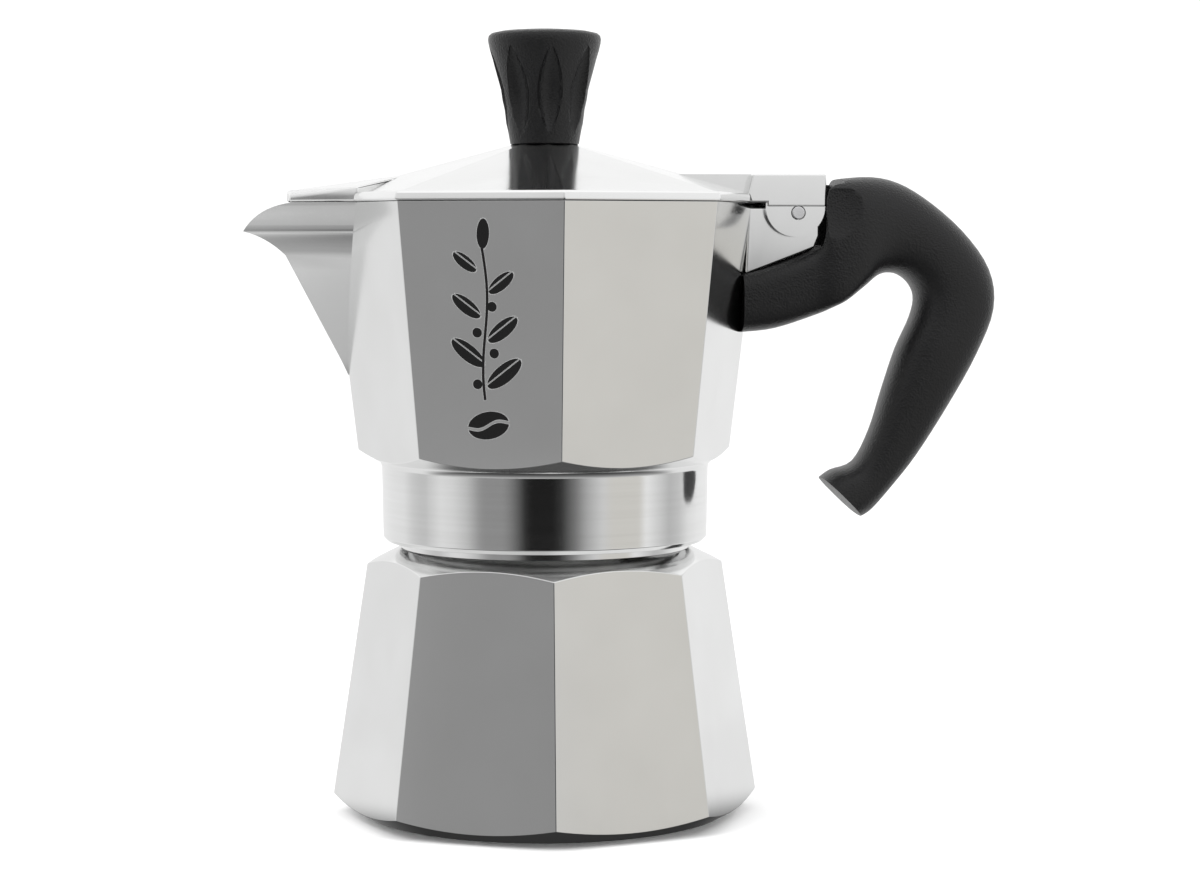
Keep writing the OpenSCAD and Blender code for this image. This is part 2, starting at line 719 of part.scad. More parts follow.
module lid() {
    color("silver")
    difference() {
        union() {
            translate([0, 0, lid_z])
                frustum(lid_r, lid_r, lid_rim_h);
            translate([0, 0, lid_roof_z - eps])
                frustum(lid_r - lid_edge, knob_foot_r, lid_rise + eps);
            // Beak over the spout
            hull() {
                for (s = [-1, 1]) {
                    translate([beak_ease - beak_reach, s * beak_tip_w, lid_z])
                        cylinder(h = beak_side_h, r = beak_ease, $fn = 12);
                    translate([beak_root_x, s * beak_root_w, lid_z])
                        cylinder(h = beak_root_h, r = 0.5, $fn = 12);
                }
                translate([beak_ease + 0.1 - beak_reach, 0, lid_z])
                    cylinder(h = beak_tip_h, r = beak_ease + 0.1, $fn = 12);
                translate([beak_ridge_x, 0, lid_z])
                    cylinder(h = beak_ridge_h, r = 0.5, $fn = 12);
            }
            // Rib and hinge block
            slab(rib_half_w)
                polygon([[rib_front, lid_z], [block_front + 1, lid_z], [block_front + 1, block_top_z],
                         [rib_front, block_top_z]]);
            slab(block_half_w)
                polygon([[block_front + 0.8, lid_z], [jug_top_r + 0.4, lid_z], [jug_top_r + 0.4, block_z],
                         [block_back, block_z], [block_back, block_top_z],
                         [block_front + 0.8, block_top_z], [block_front, lid_z + 1.7]]);
            slab(block_half_w - 0.3)
                translate([pin[0] - 0.6, block_z]) circle(r = ear_r);
        }
        // Hollow under the roof
        translate([0, 0, lid_z - 1])
            frustum(lid_shell_r, lid_shell_r, lid_rim_h + 1 - lid_drop * 0.4);
        translate([0, 0, lid_roof_z - lid_drop * 0.4 - eps])
            frustum(lid_shell_r, knob_foot_r - 1, lid_rise - lid_drop * 0.6 + eps);
        // Room for the bracket between the ears
        slab(bracket_half_w + ear_gap)
            polygon([[block_front + 1.8, 0], [far, 0], [far, block_top_z - plate_top_t],
                     [block_front + 1.8, block_top_z - plate_top_t]]);
        translate([pin[0], 0, pin[1]])
            rotate([90, 0, 0])
                cylinder(h = far, r = pin_r, center = true);
        translate([0, 0, lid_z])
            cylinder(h = far, r = knob_screw_r + 0.2);
    }
}

module hinge_pin() {
    color("gainsboro")
    translate([pin[0], 0, pin[1]])
        rotate([90, 0, 0])
            cylinder(h = 2 * block_half_w - 0.7, r = pin_r, center = true);
}

module knob() {
    flute_ring = 40;
    flute_r = 4.5;
    color("dimgray")
    difference() {
        rotate_extrude()
            polygon(concat([for (p = knob_profile) [knob_foot_r * p[0], knob_z + knob_h * p[1]]],
                           [[knob_head_r, knob_z + knob_h * 0.92],
                            [knob_head_r - 0.5, knob_z + knob_h * 0.955],
                            [knob_head_r * 0.6, knob_z + knob_h * 0.99], [0, knob_z + knob_h]]));
        for (i = [0:knob_flutes - 1])
            rotate([0, 0, (i + 0.5) * 360 / knob_flutes])
                translate([1.2 * knob_foot_r + flute_ring + flute_r - 1, 0, knob_z + 0.46 * knob_h])
                    rotate([90, 0, 0])
                        rotate_extrude()
                            translate([flute_ring, 0]) circle(r = flute_r, $fn = 48);
        translate([0, 0, knob_z - 1])
            cylinder(h = insert_h + 1.5, r = insert_r);
    }
}

module knob_insert() {
    color("goldenrod")
    translate([0, 0, knob_z]) difference() {
        cylinder(h = insert_h, r = insert_r);
        translate([0, 0, -1])
            cylinder(h = insert_h + 2, r = knob_screw_r);
    }
}

module knob_washer() {
    color("gainsboro")
    translate([0, 0, knob_z - lid_drop - washer_t]) difference() {
        cylinder(h = washer_t, r = 2.1 * knob_screw_r);
        translate([0, 0, -1])
            cylinder(h = 3, r = knob_screw_r + 0.1);
    }
}

module knob_screw() {
    head_h = 1.8;
    color("gainsboro")
    translate([0, 0, knob_z - lid_drop - washer_t - head_h]) difference() {
        union() {
            cylinder(h = head_h, r1 = 1.2 * knob_screw_r, r2 = 1.8 * knob_screw_r);
            translate([0, 0, head_h - 0.5])
                cylinder(h = screw_bite + 0.5, r = knob_screw_r - 0.05);
        }
        cross_slot(1);
    }
}

boiler();
valve_body();
valve_washer();
valve_retainer();
valve_spring();
valve_plunger();
funnel();
funnel_plate();
collector();
gasket();
filter_plate();
handle();
handle_screw();
lid();
hinge_pin();
knob();
knob_insert();
knob_washer();
knob_screw();
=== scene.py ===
"""Looks of an octagonal stove-top moka pot: polished aluminium with black plastic handle and knob."""
import math

import bmesh
import bpy
from mathutils import Matrix, Vector


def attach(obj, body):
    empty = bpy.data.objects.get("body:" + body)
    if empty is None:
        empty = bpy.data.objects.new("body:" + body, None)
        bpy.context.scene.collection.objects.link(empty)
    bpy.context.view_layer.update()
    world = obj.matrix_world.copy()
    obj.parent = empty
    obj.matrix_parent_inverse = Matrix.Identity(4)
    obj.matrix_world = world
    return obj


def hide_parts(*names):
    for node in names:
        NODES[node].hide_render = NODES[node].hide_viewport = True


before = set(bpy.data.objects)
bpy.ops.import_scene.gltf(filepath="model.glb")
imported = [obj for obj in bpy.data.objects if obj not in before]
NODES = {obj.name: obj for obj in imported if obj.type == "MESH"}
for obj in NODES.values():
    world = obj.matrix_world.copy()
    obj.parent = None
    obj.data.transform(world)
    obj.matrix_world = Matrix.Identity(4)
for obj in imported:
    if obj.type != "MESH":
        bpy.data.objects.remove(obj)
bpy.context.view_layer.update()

MM = 0.001


# ---------------------------------------------------------------- shader sums
class Value:
    """One socket of a finish, which takes part in sums with numbers and other sockets."""

    def __init__(self, finish, socket):
        self.finish = finish
        self.socket = socket

    def sum(self, operation, *terms):
        return self.finish.node("Math", {"operation": operation}, dict(enumerate(terms)))

    def __add__(self, other):
        return self.sum("ADD", self, other)

    __radd__ = __add__

    def __sub__(self, other):
        return self.sum("SUBTRACT", self, other)

    def __rsub__(self, other):
        return self.sum("SUBTRACT", other, self)

    def __mul__(self, other):
        return self.sum("MULTIPLY", self, other)

    __rmul__ = __mul__

    def __truediv__(self, other):
        return self.sum("DIVIDE", self, other)

    def __pow__(self, other):
        return self.sum("POWER", self, other)

    def __abs__(self):
        return self.sum("ABSOLUTE", self)

    def sine(self):
        return self.sum("SINE", self)

    def least(self, other):
        return self.sum("MINIMUM", self, other)

    def most(self, other):
        return self.sum("MAXIMUM", self, other)


class Finish:
    """A material in the making: node() adds every node, and the helpers below only call it."""

    def __init__(self, name):
        self.material = bpy.data.materials.new(name)
        self.material.use_nodes = True
        self.tree = self.material.node_tree
        self.tree.nodes.clear()

    def node(self, kind, settings=None, sockets=None, out=0):
        made = self.tree.nodes.new("ShaderNode" + kind)
        for name, value in (settings or {}).items():
            if name == "stops":
                ramp = made.color_ramp
                while len(ramp.elements) < len(value):
                    ramp.elements.new(1)
                for element, (place, colour) in zip(ramp.elements, value):
                    element.position = place
                    element.color = colour if len(colour) == 4 else (*colour, 1)
            else:
                setattr(made, name, value)
        for name, value in (sockets or {}).items():
            if isinstance(value, Value):
                self.tree.links.new(value.socket, made.inputs[name])
            else:
                made.inputs[name].default_value = value
        return Value(self, made.outputs[out]) if made.outputs else None

    def place(self):
        """Object coordinates, in metres."""
        return self.node("TexCoord", out=3)

    def axes(self):
        """x, y and z, in millimetres."""
        split = self.node("SeparateXYZ", None, {0: self.place()})
        made = split.socket.node
        return [Value(self, made.outputs[i]) * 1000 for i in range(3)]

    def stretched(self, scale):
        return self.node("Mapping", None, {"Vector": self.place(), "Scale": scale})

    def noise(self, scale, detail=2, place=None):
        return self.node("TexNoise", None, {"Vector": place or self.place(), "Scale": scale,
                                            "Detail": detail})

    def cells(self, scale):
        return self.node("TexVoronoi", None, {"Vector": self.place(), "Scale": scale})

    def mix(self, mask, first, second):
        return self.node("Mix", {"data_type": "RGBA"}, {0: mask, 6: first, 7: second}, out=2)

    def ramp(self, value, stops):
        return self.node("ValToRGB", {"stops": stops}, {0: value})

    def between(self, value, low, high):
        """0 below low and 1 above high, with a soft step from one to the other."""
        return self.node("MapRange", {"interpolation_type": "SMOOTHSTEP"},
                         {"Value": value, "From Min": low, "From Max": high})

    def bump(self, height, distance, strength):
        return self.node("Bump", None, {"Height": height, "Distance": distance, "Strength": strength})

    def shader(self, **sockets):
        names = {name.replace("_", " "): value for name, value in sockets.items()}
        surface = self.node("BsdfPrincipled", None, names)
        self.node("OutputMaterial", None, {"Surface": surface})
        return self.material


# ---------------------------------------------------------------- finishes
WARM = (0.665, 0.65, 0.615)
PALE_METAL = (0.90, 0.905, 0.905, 1)
DULL_METAL = (0.80, 0.80, 0.795, 1)
INK = (0.003, 0.003, 0.003, 1)
# The print: width of its soft edge, the way its facet faces, and a surface just inside that facet,
# as its distance from the axis at z = 0 and its lean, so that nothing inside the pot is printed
PRINT_EDGE = 0.12
FACET_OUT = (-0.3827, -0.9239)
UNPRINTED_OUT, UNPRINTED_LEAN = 26.1, 0.1088
# Heights and sides of the sprig's leaves, places of its berries and of the bean below it
LEAVES = [(89.5, 1), (93.5, -1), (98.0, 1), (102.5, -1), (107.0, 1), (111.0, -1)]
BERRIES = [(-1.9, 89.6), (1.7, 95.6), (-1.6, 99.6), (1.6, 104.6)]
STEM_MIDDLE, STEM_HALF = 102, 15.5
BUD_Z = 118.6
BEAN_Z = 81.6


def oval_mark(u, v, at, long, wide, lean):
    """1 inside a leaning oval, falling to 0 just outside it; u and v are millimetres on the facet."""
    turn = math.radians(lean)
    du, dv = u - at[0], v - at[1]
    along = (du * math.sin(turn) + dv * math.cos(turn)) / long
    across = (du * math.cos(turn) - dv * math.sin(turn)) / wide
    inside = 1 - (along * along + across * across) ** 0.5
    return (inside * (wide / PRINT_EDGE) + 0.5).least(1).most(0)


def line_mark(distance, half_width):
    """1 within a half width of a line, falling to 0 just outside it."""
    return ((half_width - abs(distance)) / PRINT_EDGE + 0.5).least(1).most(0)


def printed_sprig(finish):
    """A black sprig of coffee over one bean, printed on the collector's front left facet."""
    x, y, z = finish.axes()
    facing = x * FACET_OUT[0] + y * FACET_OUT[1]
    u = x * -FACET_OUT[1] + y * FACET_OUT[0]
    stem = u - (z * 0.19).sine() * 0.7
    sprig = line_mark(stem, 0.32) * line_mark(z - STEM_MIDDLE, STEM_HALF)
    for k, (height, side) in enumerate(LEAVES):
        long = 4.4 - 0.3 * k
        leaf = oval_mark(u, z, (side * 3.6, height + 2.2), long, 1.75 - 0.1 * k, side * 52)
        vein = line_mark((z - height) - abs(u) * 0.75, 0.13)
        sprig = sprig.most(leaf * (1 - vein))
    sprig = sprig.most(oval_mark(u, z, (0.3, BUD_Z), 3.0, 1.3, 4))
    for berry in BERRIES:
        sprig = sprig.most(oval_mark(u, z, berry, 1.0, 1.0, 0))
    bean = oval_mark(u, z, (0, BEAN_Z), 4.3, 2.7, 78)
    split = line_mark(z - BEAN_Z - u * 0.21 - (u * 0.9).sine() * 0.45, 0.28)
    outside = (facing - (z * UNPRINTED_LEAN + UNPRINTED_OUT)).most(0).least(0.1) * 10
    return sprig.most(bean * (1 - split)) * outside


def polished_aluminium(name, printed=False):
    """Wiped and slightly hazy, bare or with the print."""
    finish = Finish(name)
    haze = finish.noise(55, 3)
    wipes = finish.noise(900, 2, finish.stretched((1, 1, 0.05)))
    colour, metallic = finish.mix(haze, PALE_METAL, DULL_METAL), 1.0
    if printed:
        ink = printed_sprig(finish)
        colour, metallic = finish.mix(ink, colour, INK), 1 - ink
    rough = 0.10 + 0.05 * haze + 0.03 * wipes
    skin = finish.bump(wipes, 0.00001, 0.25)
    return finish.shader(Base_Color=colour, Metallic=metallic, Roughness=rough, Normal=skin)


def turned_aluminium(name):
    """Fine rings left by the lathe, which draw each reflection out up and down."""
    finish = Finish(name)
    rings = finish.noise(1, 2, finish.stretched((25, 25, 7000)))
    bands = finish.noise(1, 2, finish.stretched((15, 15, 900)))
    colour = finish.mix(bands, PALE_METAL, DULL_METAL)
    skin = finish.bump(rings, 0.000004, 0.8)
    return finish.shader(Base_Color=colour, Metallic=1.0, Roughness=0.08 + 0.06 * bands, Normal=skin)


def black_plastic(name):
    finish = Finish(name)
    grain = finish.cells(2600)
    cloud = finish.noise(1500, 2)
    worn = finish.noise(80, 3)
    colour = finish.mix(worn, (0.003, 0.003, 0.0032, 1), (0.006, 0.006, 0.0064, 1))
    rough = 0.27 + 0.10 * worn
    skin = finish.bump(grain * 0.6 + cloud * 0.4, 0.0002, 0.7)
    return finish.shader(Base_Color=colour, Roughness=rough, Specular_IOR_Level=0.36, Normal=skin)


def plain(name, first, second, roughness, metallic=0.0):
    """A finish that wanders between two colours."""
    finish = Finish(name)
    cloud = finish.noise(400, 3)
    colour = finish.mix(cloud, (*first, 1), (*second, 1))
    rough = roughness + 0.12 * cloud
    skin = finish.bump(cloud, 0.00003, 0.5)
    return finish.shader(Base_Color=colour, Metallic=metallic, Roughness=rough, Normal=skin)


ALUMINIUM = polished_aluminium("polished_aluminium")
PRINTED = polished_aluminium("printed_aluminium", printed=True)
COLLAR = turned_aluminium("turned_aluminium")
PLASTIC = black_plastic("black_plastic")
SPUN = plain("spun_aluminium", (0.86, 0.86, 0.86), (0.76, 0.76, 0.76), 0.24, 1.0)
RUBBER = plain("white_rubber", (0.80, 0.79, 0.75), (0.72, 0.71, 0.67), 0.55)
FIBRE = plain("fibre_washer", (0.42, 0.16, 0.09), (0.34, 0.12, 0.07), 0.6)
BRASS = plain("valve_brass", (0.83, 0.64, 0.33), (0.76, 0.56, 0.27), 0.22, 1.0)
STEEL = plain("bright_steel", (0.74, 0.74, 0.75), (0.66, 0.66, 0.67), 0.16, 1.0)

WEARS = {
    "boiler": ALUMINIUM, "collector": ALUMINIUM, "lid": ALUMINIUM,
    "funnel": SPUN, "funnel_plate": SPUN, "filter_plate": SPUN,
    "handle": PLASTIC, "knob": PLASTIC,
    "gasket": RUBBER, "valve_washer": FIBRE, "knob_washer": FIBRE,
    "valve_body": BRASS, "valve_plunger": BRASS, "valve_retainer": BRASS, "knob_insert": BRASS,
    "valve_spring": STEEL, "handle_screw": STEEL, "hinge_pin": STEEL, "knob_screw": STEEL,
}


def dress(piece, material):
    if not piece.data.materials:
        piece.data.materials.append(material)
    for slot in piece.material_slots:
        slot.material = material


for name, material in WEARS.items():
    dress(NODES[name], material)


# ---------------------------------------------------------------- studio
CARD_RADIUS = 0.25
CARD_HEIGHT = 0.44
# Heights over which one ring of cards gives way to the next, in millimetres
LOW_TO_UPPER = (102, 120)
MIDDLE_TO_HIGH = (134, 152)
SKY_STRENGTH = 1.15
LIGHT_AIM = (0, 0, 0.08)


def add_floor():
    bpy.ops.mesh.primitive_plane_add(size=9, location=(0, 0, -0.00005))
    floor = bpy.context.object
    floor.name = "floor"
    finish = Finish("pale_floor")
    cloud = finish.noise(3, 2)
    colour = finish.mix(cloud, (0.93, 0.93, 0.93, 1), (0.90, 0.90, 0.90, 1))
    dress(floor, finish.shader(Base_Color=colour, Roughness=0.6))


def grey(value):
    return (value, value, value)


def around_pot(finish, x, y):
    """The direction round the pot's axis, from 0 at -180 degrees to 1 at 180."""
    return finish.node("Math", {"operation": "ARCTAN2"}, {0: y, 1: x}) / (2 * math.pi) + 0.5


def stops(*marks):
    """A ramp's stops from marks of an angle in degrees and a brightness or colour."""
    return [((angle + 180) / 360, light if isinstance(light, tuple) else grey(light))
            for angle, light in marks]


def hang(card, finish, light):
    """A card lights only what reflects it."""
    glow = finish.node("Emission", None, {"Color": light, "Strength": 1.0})
    finish.node("OutputMaterial", None, {"Surface": glow})
    dress(card, finish.material)
    card.visible_camera = False
    card.visible_diffuse = False
    card.visible_shadow = False


def add_cards():
    """Cards round the pot and on the table before it, seen only in its reflections."""
    tent = start("cylinder", "cards", vertices=96, radius=CARD_RADIUS, depth=CARD_HEIGHT,
                 end_fill_type="NOTHING", location=(0, 0, CARD_HEIGHT / 2))
    finish = Finish("standing_cards")
    x, y, z = finish.axes()
    around = around_pot(finish, x, y)
    low = finish.ramp(around, stops(
        (-178, 0.66), (-168, 0.80), (-158, 0.74), (-148, 0.58), (-139, 0.34), (-135, 0.295), (-122, 0.295),
        (-117, 0.22), (-108, 0.03), (-104, 0.012), (-90, 0.012), (-84, 0.035), (-75, 0.20), (-67, 0.45),
        (-57, 0.67), (-50, WARM), (-30, WARM), (-24, 0.88), (-15, 0.72), (-3, 0.52), (7, 0.60), (20, 0.82),
        (36, 0.90), (60, 0.90), (120, 0.88), (140, 0.84), (154, 0.82), (165, 0.66), (173, 0.60)))
    middle = finish.ramp(around, stops(
        (-178, 0.80), (-164, 0.50), (-154, 0.10), (-124, 0.12), (-110, 0.35), (-92, 0.62), (-70, 0.78),
        (-30, 0.80), (0, 0.95), (120, 0.88), (179, 0.84)))
    high = finish.ramp(around, stops(
        (-178, 0.92), (-120, 0.75), (-96, 0.62), (-80, 0.9), (20, 1.02), (150, 1.02), (179, 0.95)))
    upper = finish.mix(finish.between(z, *MIDDLE_TO_HIGH), middle, high)
    hang(tent, finish, finish.mix(finish.between(z, *LOW_TO_UPPER), low, upper))

    table = start("circle", "table_card", vertices=96, radius=CARD_RADIUS - 0.001, fill_type="NGON",
                  location=(0, 0, 0.0004))
    finish = Finish("table_card")
    x, y, z = finish.axes()
    away = (x * x + y * y) ** 0.5
    # Painted shade: the table card is dark close to the pot and lighter further out, standing for the
    # floor's shade round the pot as its underside reflects it; behind the pot it is pale
    painted_floor_shade = finish.ramp(away / (CARD_RADIUS / MM),
                       [(0.14, grey(0.03)), (0.32, grey(0.10)), (0.6, grey(0.32)), (0.9, grey(0.55))])
    behind = finish.between(y, -30, 30)
    hang(table, finish, finish.mix(behind, painted_floor_shade, (0.86, 0.86, 0.86, 1)))


def add_light(name, place, size, power):
    data = bpy.data.lights.new(name, "AREA")
    data.size = size
    data.energy = power
    lamp = bpy.data.objects.new(name, data)
    bpy.context.scene.collection.objects.link(lamp)
    lamp.location = place
    lamp.rotation_euler = (Vector(LIGHT_AIM) - Vector(place)).to_track_quat("-Z", "Y").to_euler()
    lamp.visible_camera = False
    lamp.visible_glossy = False


def add_studio():
    add_floor()
    add_cards()
    add_light("softbox_left", (-0.9, -0.7, 1.1), 0.9, 14)
    add_light("softbox_right", (0.8, -0.9, 1.0), 0.9, 10)
    world = bpy.data.worlds.new("studio")
    bpy.context.scene.world = world
    world.use_nodes = True
    sky = world.node_tree.nodes["Background"]
    sky.inputs["Color"].default_value = (1, 1, 1, 1)
    sky.inputs["Strength"].default_value = SKY_STRENGTH
    bpy.context.scene.view_settings.view_transform = "Standard"


def add_camera():
    data = bpy.data.cameras.new("camera")
    data.lens = 88.1
    data.sensor_width = 36
    data.clip_start = 0.01
    data.clip_end = 50
    camera = bpy.data.objects.new("camera", data)
    bpy.context.scene.collection.objects.link(camera)
    camera.location = (-0.05118, -0.59885, 0.11745)
    camera.rotation_euler = (math.radians(86.165), 0, math.radians(-5.96))
    bpy.context.scene.camera = camera


# ---------------------------------------------------------------- bench work
# Points closer than this become one, in millimetres
MERGE_CUTS = 0.006
MERGE_SPUN = 0.001


def deselect():
    bpy.ops.object.select_all(action="DESELECT")


def take_up(piece):
    """Makes a piece the only one selected, and the one worked on."""
    deselect()
    piece.select_set(True)
    bpy.context.view_layer.objects.active = piece


def edit(piece):
    take_up(piece)
    bpy.ops.object.mode_set(mode="EDIT")


def leave():
    bpy.ops.object.mode_set(mode="OBJECT")


def pick(piece, kind, wanted):
    """Selects the vertices, edges or faces that wanted() accepts, in edit mode."""
    bpy.context.tool_settings.mesh_select_mode = [kind == k for k in ("verts", "edges", "faces")]
    bpy.ops.mesh.select_all(action="DESELECT")
    mesh = bmesh.from_edit_mesh(piece.data)
    for item in getattr(mesh, kind):
        if wanted(item):
            item.select_set(True)
    mesh.select_flush_mode()
    bmesh.update_edit_mesh(piece.data)


def finish_with(piece, kind, **settings):
    take_up(piece)
    modifier = piece.modifiers.new(kind, kind)
    for name, value in settings.items():
        setattr(modifier, name, value)
    bpy.ops.object.modifier_apply(modifier=modifier.name)


def smooth(piece, angle=32):
    """Merges the points that cuts left on top of each other, then shades the piece smooth."""
    edit(piece)
    bpy.ops.mesh.select_all(action="SELECT")
    bpy.ops.mesh.remove_doubles(threshold=MERGE_CUTS * MM)
    leave()
    take_up(piece)
    bpy.ops.object.shade_smooth_by_angle(angle=math.radians(angle))
    finish_with(piece, "WEIGHTED_NORMAL", keep_sharp=True, weight=100)


def mm(*values):
    return tuple(value * MM for value in values)


def degrees(*angles):
    return [math.radians(angle) for angle in angles]


def settle(piece):
    """Puts a piece's place in its mesh, with its object at the origin."""
    take_up(piece)
    bpy.ops.object.transform_apply(location=True, rotation=True, scale=True)
    return piece


def start(kind, name, stretch=(1, 1, 1), **place):
    """A new piece from a primitive, stretched along its own axes."""
    deselect()
    getattr(bpy.ops.mesh, "primitive_" + kind + "_add")(**place)
    piece = bpy.context.object
    piece.scale = stretch
    piece.name = piece.data.name = name
    return settle(piece)


def cone(name, low_r, high_r, low, high, sides=96, turn=0.0):
    return start("cone", name, vertices=sides, radius1=low_r * MM, radius2=high_r * MM,
                 depth=(high - low) * MM, location=mm(0, 0, (low + high) / 2), rotation=degrees(0, 0, turn))


def rod(name, radius, length, centre, turn=(0, 0, 0), sides=48):
    return start("cylinder", name, vertices=sides, radius=radius * MM, depth=length * MM,
                 location=mm(*centre), rotation=degrees(*turn))


def draw(name, points, edges, faces):
    """A new piece from its points and the edges or faces between them, open for editing and all selected."""
    mesh = bpy.data.meshes.new(name)
    mesh.from_pydata(points, edges, faces)
    piece = bpy.data.objects.new(name, mesh)
    bpy.context.scene.collection.objects.link(piece)
    edit(piece)
    bpy.ops.mesh.select_all(action="SELECT")
    return piece


def face_outwards():
    """Turns every face of the piece being edited outwards."""
    bpy.ops.mesh.select_all(action="SELECT")
    bpy.ops.mesh.normals_make_consistent(inside=False)


def oval(name, sides, centre, turn, wide, deep, square=1.0):
    """One ring: a circle, or squarer where square is below 1, stretched to its half widths."""
    ring = start("circle", name, vertices=sides, radius=1)
    for vertex in ring.data.vertices:
        for axis, half in enumerate((wide, deep)):
            side = vertex.co[axis]
            vertex.co[axis] = math.copysign(abs(side) ** square, side) * half * MM
    ring.location = mm(*centre)
    ring.rotation_euler = degrees(*turn)
    return settle(ring)


def skin(name, rings, sides):
    """A skin over rings: each is a centre, a turn in degrees and its half widths, in millimetres."""
    piece = join(name, [oval(name, sides, centre, turn, *halves) for centre, turn, halves in rings])
    edit(piece)
    last = len(rings) - 1
    for k in range(last):
        pick(piece, "verts", lambda v: v.index // sides in (k, k + 1))
        bpy.ops.mesh.bridge_edge_loops()
    for end in (0, last):
        pick(piece, "verts", lambda v: v.index // sides == end)
        bpy.ops.mesh.edge_face_add()
    face_outwards()
    leave()
    return piece


def lathe(name, profile, sides=96, closed=False, turn=0.0):
    """A turned piece from its (radius, height) outline, in millimetres, closed at the axis or on itself."""
    points = profile if closed else [(0, profile[0][1]), *profile, (0, profile[-1][1])]
    edges = [(k, k + 1) for k in range(len(points) - 1)] + ([(len(points) - 1, 0)] if closed else [])
    piece = draw(name, [mm(r, 0, z) for r, z in points], edges, [])
    bpy.ops.mesh.spin(steps=sides, angle=2 * math.pi, center=(0, 0, 0), axis=(0, 0, 1))
    bpy.ops.mesh.select_all(action="SELECT")
    bpy.ops.mesh.remove_doubles(threshold=MERGE_SPUN * MM)
    face_outwards()
    leave()
    piece.rotation_euler = degrees(0, 0, turn)
    return settle(piece)


def slab(name, outline, half_width):
    """A flat outline in X and Z, drawn out for a half width to each side of the middle."""
    piece = draw(name, [mm(x, -half_width, z) for x, z in outline], [], [list(range(len(outline)))])
    bpy.ops.mesh.extrude_region_move(TRANSFORM_OT_translate={"value": mm(0, 2 * half_width, 0)})
    face_outwards()
    leave()
    return piece


def join(name, pieces):
    deselect()
    for piece in pieces:
        piece.select_set(True)
    bpy.context.view_layer.objects.active = pieces[0]
    bpy.ops.object.join()
    pieces[0].name = pieces[0].data.name = name
    return pieces[0]


def ring_of(piece, count, first_turn):
    """Copies of a piece, spread evenly round the pot's axis, as one."""
    copies = []
    for k in range(count):
        copy = bpy.data.objects.new(piece.name, piece.data.copy())
        bpy.context.scene.collection.objects.link(copy)
        copy.rotation_euler = degrees(0, 0, first_turn + 360 * k / count)
        copies.append(settle(copy))
    bpy.data.objects.remove(piece)
    return join("ring", copies)


def cut(piece, tool, how="DIFFERENCE"):
    finish_with(piece, "BOOLEAN", operation=how, object=tool, solver="EXACT")
    bpy.data.objects.remove(tool)


def weld(piece, tool):
    cut(piece, tool, "UNION")


def ease(piece, width, angle=22, segments=3):
    """Rounds every edge that is sharper than an angle."""
    finish_with(piece, "BEVEL", width=width * MM, segments=segments, limit_method="ANGLE",
                angle_limit=math.radians(angle), use_clamp_overlap=True)


def ease_edges(piece, width, wanted):
    """Rounds the edges that wanted() accepts from their two ends, in millimetres."""
    edit(piece)
    pick(piece, "edges", lambda e: wanted(e.verts[0].co / MM, e.verts[1].co / MM))
    bpy.ops.mesh.bevel(offset=width * MM, segments=2, profile=0.5, affect="EDGES", clamp_overlap=True)
    leave()


def hand_over(piece, material, body, slot, *nodes):
    """The finished piece gets its finish, rides on its body and stands for its CAD nodes."""
    piece.data.materials.clear()
    piece.data.materials.append(material)
    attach(piece, body)
    if nodes:
        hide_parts(*nodes)


# ---------------------------------------------------------------- boiler
VALVE_TURN = 110.3
VALVE_TILT = 82.12
VALVE_OUT = (-0.3437, 0.9290, 0.1371)
VALVE_FOOT = (-12.58, 34.01, 33.0)
# The octagon's corner radius under the shoulder, how fast it grows downwards, and its small turn
BOILER_TOP_Z, BOILER_TOP_R, BOILER_LEAN = 51.3, 36.5, 0.1498
BOILER_TURN = -2.2
NECK_R, COLLAR_BORE_R = 29.5, 31.2
PITCH = 3.5
THREAD_CREST = 1.3


def on_valve(distance):
    """A point on the safety valve's axis, at a distance out from the boiler's facet."""
    return [foot + out * distance for foot, out in zip(VALVE_FOOT, VALVE_OUT)]


def boiler_radius(z):
    return BOILER_TOP_R + (BOILER_TOP_Z - z) * BOILER_LEAN


def thread(name, radius, low, turns, start_turn):
    """A ridge that climbs round a wall and fades out at both ends."""
    rings = []
    count = int(36 * turns)
    for k in range(count + 1):
        angle = start_turn + 360 * turns * k / count
        fade = max(0.15, min(1, k / 4, (count - k) / 4))
        at = math.radians(angle)
        rings.append(((radius * math.cos(at), radius * math.sin(at), low + PITCH * turns * k / count),
                      (90, 0, angle), (THREAD_CREST * fade, 1.0)))
    return skin(name, rings, 6)


def make_boiler():
    body = cone("boiler_body", boiler_radius(-1), boiler_radius(55.8), -1, 55.8, 8, BOILER_TURN)
    turned = lathe("turned", [(BOILER_TOP_R, 0), (46.6, 5.55), (46.6, 46.25), (NECK_R, 54.8)], 128)
    cut(body, turned, "INTERSECT")
    ease(body, 0.12)
    weld(body, lathe("neck", [(NECK_R, 53.0), (NECK_R, 65.5), (29.0, 66.0)], 128))
    weld(body, rod("boss", 6.9, 1.8, on_valve(-0.1), (0, VALVE_TILT, VALVE_TURN)))
    cut(body, lathe("chamber", [(35.2, 3.5), (37.9, 6.5), (31.3, 49.3), (26.3, 53.3), (26.3, 67)], 96))
    cut(body, rod("valve_bore", 4.0, 14, on_valve(-2), (0, VALVE_TILT, VALVE_TURN)))
    ridge = thread("boiler_thread", NECK_R, 58.9, 1.25, 0)
    smooth(body)
    smooth(ridge)
    hand_over(body, ALUMINIUM, "boiler", "polished_aluminium", "boiler")
    hand_over(ridge, SPUN, "boiler", "spun_aluminium", "boiler")


# ---------------------------------------------------------------- collector
RIM_Z = 124.9
PIN_X, PIN_Z = 51.0, 122.9
# The octagon's corner radius at its foot, how fast it grows upwards, and its wall
JUG_FOOT_Z, JUG_FOOT_R, JUG_LEAN = 74.8, 38.2, 0.11776
JUG_WALL = 2.49
